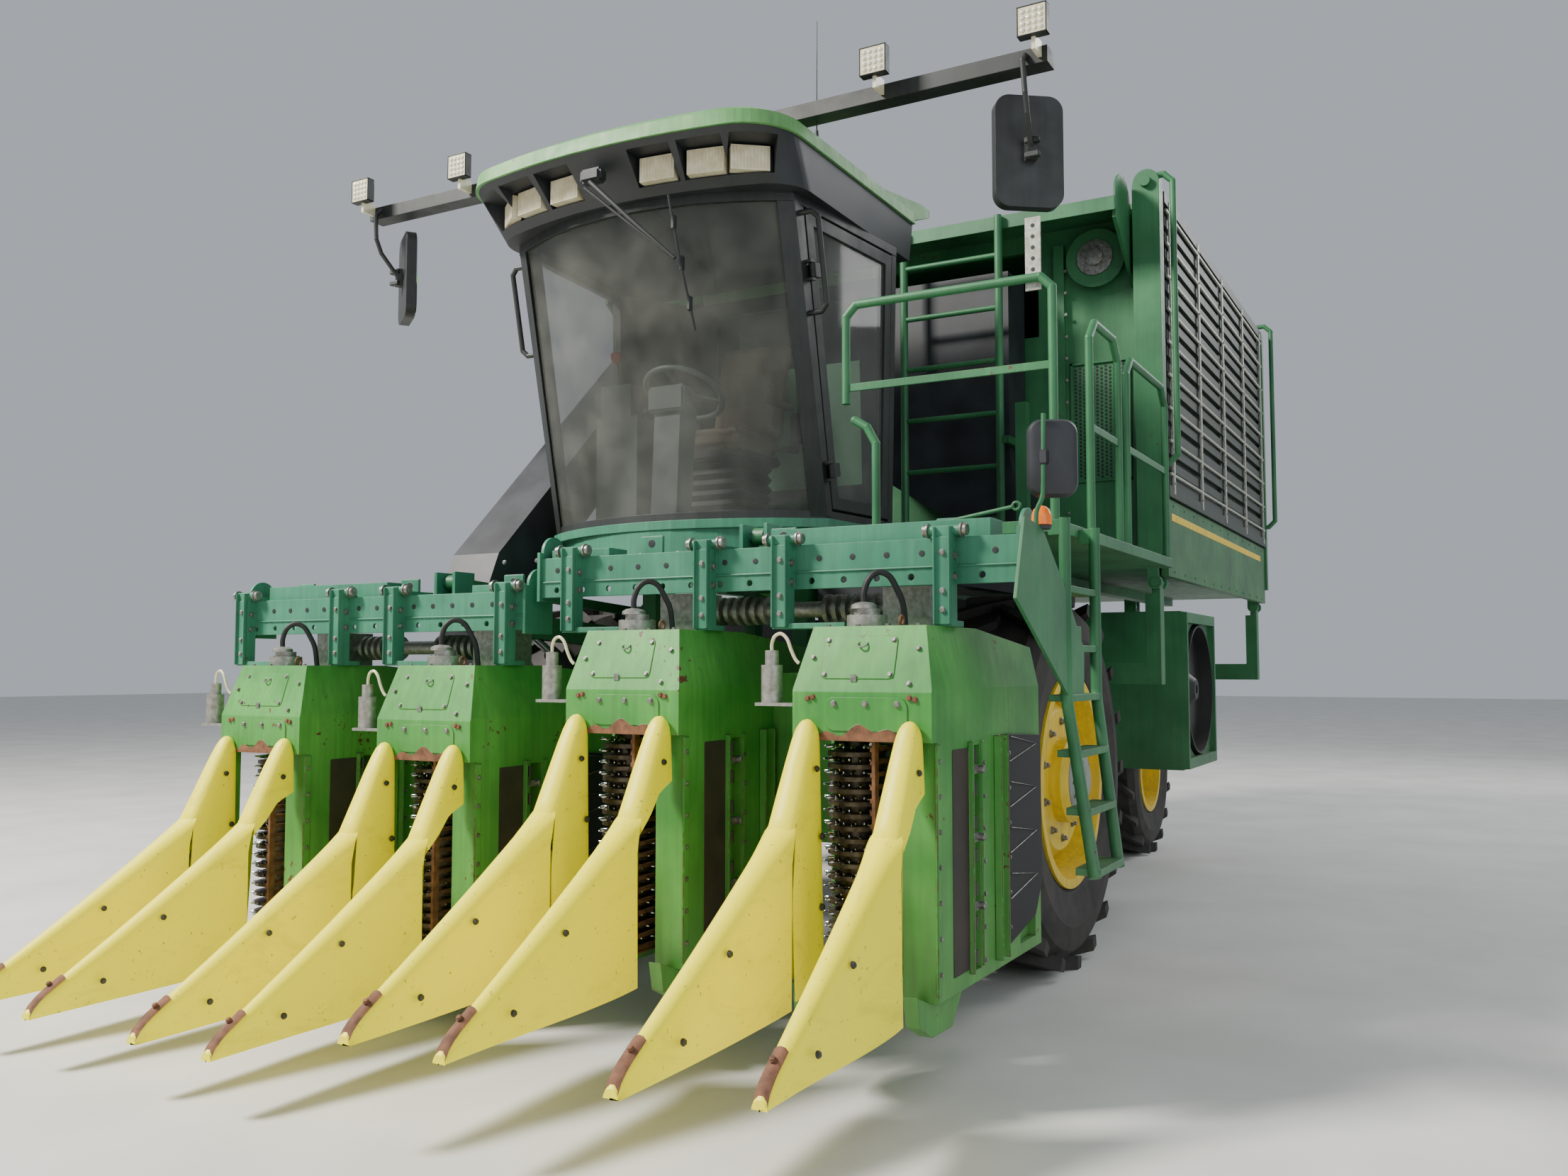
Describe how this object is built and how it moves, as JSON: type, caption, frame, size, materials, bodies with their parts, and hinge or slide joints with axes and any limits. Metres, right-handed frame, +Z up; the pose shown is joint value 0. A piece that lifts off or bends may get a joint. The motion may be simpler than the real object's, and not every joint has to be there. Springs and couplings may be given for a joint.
{
  "type": "self-propelled cotton picker",
  "caption": "Self-propelled row-crop cotton picker: picking header in two lifting halves, glazed cab, slatted tipping basket, steered rear axle.",
  "frame": {"origin": "on the ground under the middle of the machine's outline", "axes": "+X forward, +Y to the driver's left, +Z up"},
  "size_m": [7.8875, 4.053, 4.1108],
  "materials": {
    "green_paint": "satin",
    "yellow_plastic": "satin",
    "yellow_paint": "satin",
    "black_paint": "satin",
    "tyre_rubber": "matte",
    "glass": "clear",
    "bare_steel": "worn",
    "rusty_steel": "rusty",
    "black_plastic": "matte",
    "lamp_plastic": "gloss",
    "seat_fabric": "matte",
    "grey_plastic": "matte"
  },
  "bodies": {
    "chassis": {"main_frame": "green_paint", "front_axle": "green_paint", "rear_axle": "green_paint", "engine_block": "green_paint", "cooling_box": "green_paint", "fluid_tanks": "black_plastic", "platform": "green_paint", "access_ladder": "green_paint", "cab_base": "green_paint", "cab_frame": "black_paint", "cab_glass": "glass", "cab_roof": "green_paint", "cab_visor": "black_plastic", "work_lamps": "lamp_plastic", "operator_seat": "seat_fabric", "cab_controls": "grey_plastic", "light_bar": "black_paint", "cotton_ducts": "grey_plastic"},
    "front_left_wheel": {"front_left_tyre": "tyre_rubber", "front_left_rim": "yellow_paint"},
    "front_right_wheel": {"front_right_tyre": "tyre_rubber", "front_right_rim": "yellow_paint"},
    "rear_left_steering": {"rear_left_knuckle": "green_paint"},
    "rear_left_wheel": {"rear_left_tyre": "tyre_rubber", "rear_left_rim": "yellow_paint"},
    "rear_right_steering": {"rear_right_knuckle": "green_paint"},
    "rear_right_wheel": {"rear_right_tyre": "tyre_rubber", "rear_right_rim": "yellow_paint"},
    "door": {"cab_door": "black_paint", "door_glass": "glass"},
    "screen": {"rotary_screen": "black_paint"},
    "basket": {"basket_shell": "green_paint", "unloading_conveyor": "bare_steel", "conveyor_drive": "green_paint", "basket_ladder": "green_paint", "side_panel": "green_paint"},
    "tip_cylinder_pair": {"tip_cylinders": "black_paint"},
    "tip_rod_pair": {"tip_rods": "bare_steel"},
    "left_arm": {"left_lift_arm": "green_paint"},
    "left_header": {"left_toolbar": "green_paint", "left_row_units": "green_paint", "left_snouts": "yellow_plastic", "left_grid_bars": "rusty_steel", "left_unit_drives": "bare_steel"},
    "left_link": {"left_top_link": "green_paint"},
    "left_cylinder": {"left_lift_cylinder": "black_paint"},
    "left_rod": {"left_lift_rod": "bare_steel"},
    "row_3_rotor": {"row_3_drum": "bare_steel"},
    "row_4_rotor": {"row_4_drum": "bare_steel"},
    "right_arm": {"right_lift_arm": "green_paint"},
    "right_header": {"right_toolbar": "green_paint", "right_row_units": "green_paint", "right_snouts": "yellow_plastic", "right_grid_bars": "rusty_steel", "right_unit_drives": "bare_steel"},
    "right_link": {"right_top_link": "green_paint"},
    "right_cylinder": {"right_lift_cylinder": "black_paint"},
    "right_rod": {"right_lift_rod": "bare_steel"},
    "row_1_rotor": {"row_1_drum": "bare_steel"},
    "row_2_rotor": {"row_2_drum": "bare_steel"}
  },
  "joints": [
    {"name": "front_left_spin", "type": "hinge", "parent": "chassis", "child": "front_left_wheel", "pos_m": [0.65, 1.201, 0.88], "axis": [0, 1, 0], "continuous": true},
    {"name": "front_right_spin", "type": "hinge", "parent": "chassis", "child": "front_right_wheel", "pos_m": [0.65, -1.379, 0.88], "axis": [0, 1, 0], "continuous": true},
    {"name": "rear_left_steer", "type": "hinge", "parent": "chassis", "child": "rear_left_steering", "pos_m": [-3.3, 0.471, 0.64], "axis": [0, 0, 1], "range_deg": [-30, 30]},
    {"name": "rear_left_spin", "type": "hinge", "parent": "rear_left_steering", "child": "rear_left_wheel", "pos_m": [-3.3, 0.711, 0.64], "axis": [0, 1, 0], "continuous": true},
    {"name": "rear_right_steer", "type": "hinge", "parent": "chassis", "child": "rear_right_steering", "pos_m": [-3.3, -0.649, 0.64], "axis": [0, 0, 1], "range_deg": [-30, 30]},
    {"name": "rear_right_spin", "type": "hinge", "parent": "rear_right_steering", "child": "rear_right_wheel", "pos_m": [-3.3, -0.889, 0.64], "axis": [0, 1, 0], "continuous": true},
    {"name": "cab_door_swing", "type": "hinge", "parent": "chassis", "child": "door", "pos_m": [1.675, 0.682, 2.12], "axis": [-0.2045, -0.0008, -0.9789], "range_deg": [0, 60]},
    {"name": "rotary_screen_spin", "type": "hinge", "parent": "chassis", "child": "screen", "pos_m": [-1.35, 1.511, 1.28], "axis": [0, 1, 0], "continuous": true},
    {"name": "basket_tip", "type": "hinge", "parent": "chassis", "child": "basket", "pos_m": [-2.05, 1.611, 1.87], "axis": [-1, 0, 0], "range_deg": [0, 40]},
    {"name": "tip_cylinder_swing", "type": "hinge", "parent": "chassis", "child": "tip_cylinder_pair", "pos_m": [-2.05, 1.011, 1.3], "axis": [1, 0, 0], "range_deg": [-24.6, 1]},
    {"name": "tip_rod_slide", "type": "slide", "parent": "tip_cylinder_pair", "child": "tip_rod_pair", "axis": [0, -0.4532, 0.8914], "range_m": [-0.005, 0.5282]},
    {"name": "left_header_lift", "type": "hinge", "parent": "chassis", "child": "left_arm", "pos_m": [0.95, 0.701, 1.56], "axis": [0, -1, 0], "range_deg": [-8.91, 9.55]},
    {"name": "left_header_level", "type": "hinge", "parent": "left_arm", "child": "left_header", "pos_m": [2.35439, 0.701, 1.77], "axis": [0, 1, 0], "range_deg": [-9.41, 10.05]},
    {"name": "left_top_link_swing", "type": "hinge", "parent": "chassis", "child": "left_link", "pos_m": [0.95, 0.701, 1.71], "axis": [0, -1, 0], "range_deg": [-9.41, 10.05]},
    {"name": "left_cylinder_swing", "type": "hinge", "parent": "chassis", "child": "left_cylinder", "pos_m": [1.03, 0.701, 1.11], "axis": [0, -1, 0], "range_deg": [-7.74, 8.26]},
    {"name": "left_rod_slide", "type": "slide", "parent": "left_cylinder", "child": "left_rod", "axis": [0.8323, 0, 0.5544], "range_m": [-0.0698, 0.0745]},
    {"name": "row_3_drum_spin", "type": "hinge", "parent": "left_header", "child": "row_3_rotor", "pos_m": [2.62439, 0.2785, 0.79], "axis": [0, 0, 1], "continuous": true},
    {"name": "row_4_drum_spin", "type": "hinge", "parent": "left_header", "child": "row_4_rotor", "pos_m": [2.62439, 1.2435, 0.79], "axis": [0, 0, 1], "continuous": true},
    {"name": "right_header_lift", "type": "hinge", "parent": "chassis", "child": "right_arm", "pos_m": [0.95, -0.879, 1.56], "axis": [0, -1, 0], "range_deg": [-3.63, 14.82]},
    {"name": "right_header_level", "type": "hinge", "parent": "right_arm", "child": "right_header", "pos_m": [2.36775, -0.879, 1.64], "axis": [0, 1, 0], "range_deg": [-4.13, 15.32]},
    {"name": "right_top_link_swing", "type": "hinge", "parent": "chassis", "child": "right_link", "pos_m": [0.95, -0.879, 1.71], "axis": [0, -1, 0], "range_deg": [-4.13, 15.32]},
    {"name": "right_cylinder_swing", "type": "hinge", "parent": "chassis", "child": "right_cylinder", "pos_m": [1.03, -0.879, 1.11], "axis": [0, -1, 0], "range_deg": [-3.46, 12.55]},
    {"name": "right_rod_slide", "type": "slide", "parent": "right_cylinder", "child": "right_rod", "axis": [0.872, 0, 0.4895], "range_m": [-0.0315, 0.1131]},
    {"name": "row_1_drum_spin", "type": "hinge", "parent": "right_header", "child": "row_1_rotor", "pos_m": [2.63774, -1.6515, 0.66], "axis": [0, 0, 1], "continuous": true},
    {"name": "row_2_drum_spin", "type": "hinge", "parent": "right_header", "child": "row_2_rotor", "pos_m": [2.63774, -0.6865, 0.66], "axis": [0, 0, 1], "continuous": true}
  ],
  "couplings": [
    {"joint": "rear_right_steer", "follows": "rear_left_steer", "ratio": 1},
    {"joint": "tip_cylinder_swing", "follows": "basket_tip", "ratio": -0.58999},
    {"joint": "tip_rod_slide", "follows": "basket_tip", "m_per_rad": 0.7423},
    {"joint": "left_header_level", "follows": "left_header_lift", "ratio": 1},
    {"joint": "left_top_link_swing", "follows": "left_header_lift", "ratio": 1},
    {"joint": "left_cylinder_swing", "follows": "left_header_lift", "ratio": 0.81241},
    {"joint": "left_rod_slide", "follows": "left_header_lift", "m_per_rad": 0.41702},
    {"joint": "right_header_level", "follows": "right_header_lift", "ratio": 1},
    {"joint": "right_top_link_swing", "follows": "right_header_lift", "ratio": 1},
    {"joint": "right_cylinder_swing", "follows": "right_header_lift", "ratio": 0.81337},
    {"joint": "right_rod_slide", "follows": "right_header_lift", "m_per_rad": 0.41783}
  ]
}
